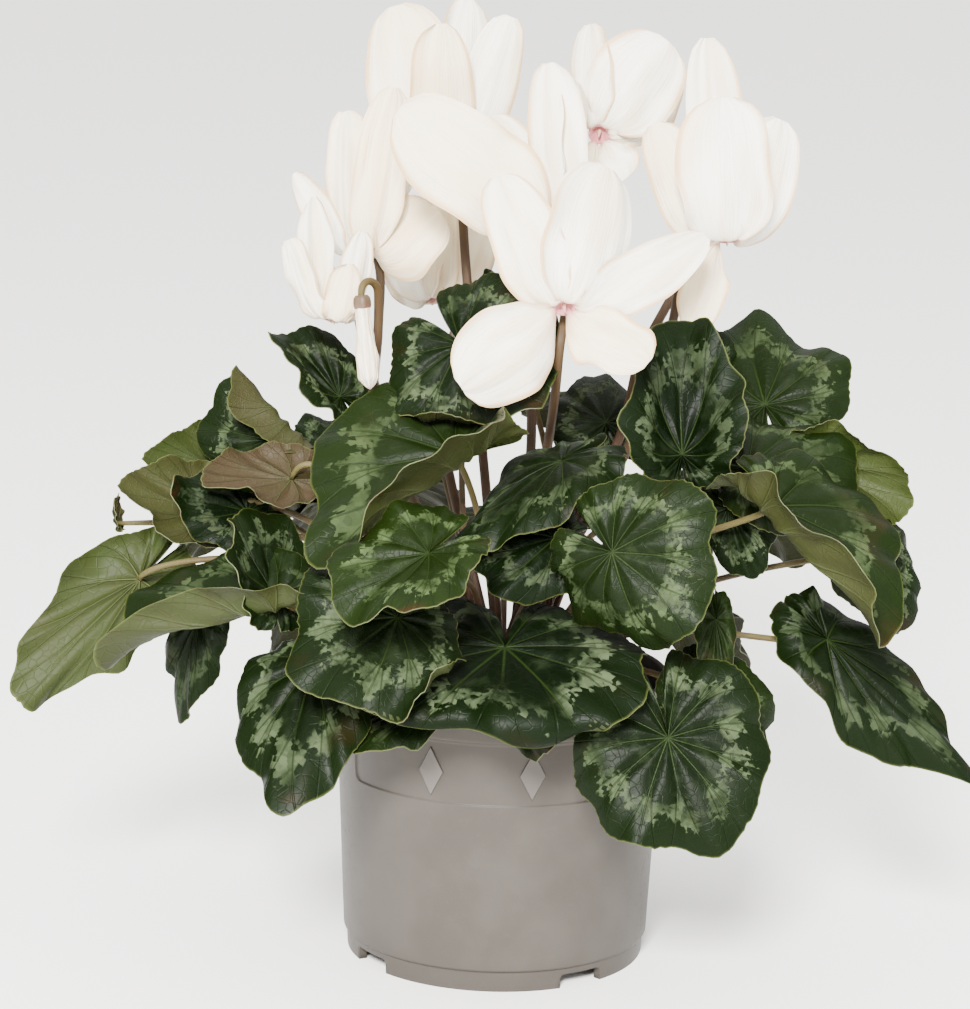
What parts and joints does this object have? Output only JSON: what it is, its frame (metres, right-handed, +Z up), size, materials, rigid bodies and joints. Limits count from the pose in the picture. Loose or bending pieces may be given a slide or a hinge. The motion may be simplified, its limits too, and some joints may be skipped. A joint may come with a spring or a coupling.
{
  "type": "potted cyclamen",
  "caption": "Florist's cyclamen in a plain round plastic grower's pot: heart-shaped silver-patterned leaves and nodding white flowers with swept-back petals on tall stems.",
  "frame": {"origin": "on the ground, midway across the whole plant in width and in depth; the pot's axis stands a few millimetres beside it, at the middle of the node pot", "axes": "+Z up along the pot's axis, -Y towards the front of the plant as the picture shows it, +X to the viewer's right"},
  "size_m": [0.3522, 0.2682, 0.3639],
  "materials": {
    "leaf": "satin",
    "petal": "soft matt",
    "stem": "satin",
    "pot": "satin",
    "peat": "rough",
    "corm": "rough"
  },
  "bodies": {
    "root": {"bloom_far_left": "petal", "bloom_front": "petal", "bloom_left": "petal", "bloom_left_centre": "petal", "bloom_low_back": "petal", "bloom_right": "petal", "bloom_top_left": "petal", "bloom_top_right": "petal", "bud": "petal", "corm": "corm", "leaf_back_high_left": "leaf", "leaf_back_high_right": "leaf", "leaf_back_inner_left": "leaf", "leaf_back_inner_right": "leaf", "leaf_back_left": "leaf", "leaf_back_low_left": "leaf", "leaf_back_low_right": "leaf", "leaf_back_middle": "leaf", "leaf_back_right": "leaf", "leaf_behind_bloom": "leaf", "leaf_boat": "leaf", "leaf_bright": "leaf", "leaf_cloak": "leaf", "leaf_crest": "leaf", "leaf_dark_left": "leaf", "leaf_dark_middle": "leaf", "leaf_dark_right": "leaf", "leaf_drape_left": "leaf", "leaf_far_left": "leaf", "leaf_far_right": "leaf", "leaf_folded": "leaf", "leaf_hang_left": "leaf", "leaf_heart": "leaf", "leaf_high_left": "leaf", "leaf_low_left": "leaf", "leaf_low_right": "leaf", "leaf_peak": "leaf", "leaf_pink_point": "leaf", "leaf_rim_left": "leaf", "leaf_round": "leaf", "leaf_saddle": "leaf", "leaf_silver": "leaf", "leaf_top_left": "leaf", "leaf_under_right": "leaf", "leaf_wavy": "leaf", "pot": "pot", "soil": "peat", "stem_bud": "stem", "stem_far_left": "stem", "stem_front": "stem", "stem_left": "stem", "stem_left_centre": "stem", "stem_low_back": "stem", "stem_right": "stem", "stem_top_left": "stem", "stem_top_right": "stem"}
  },
  "joints": []
}
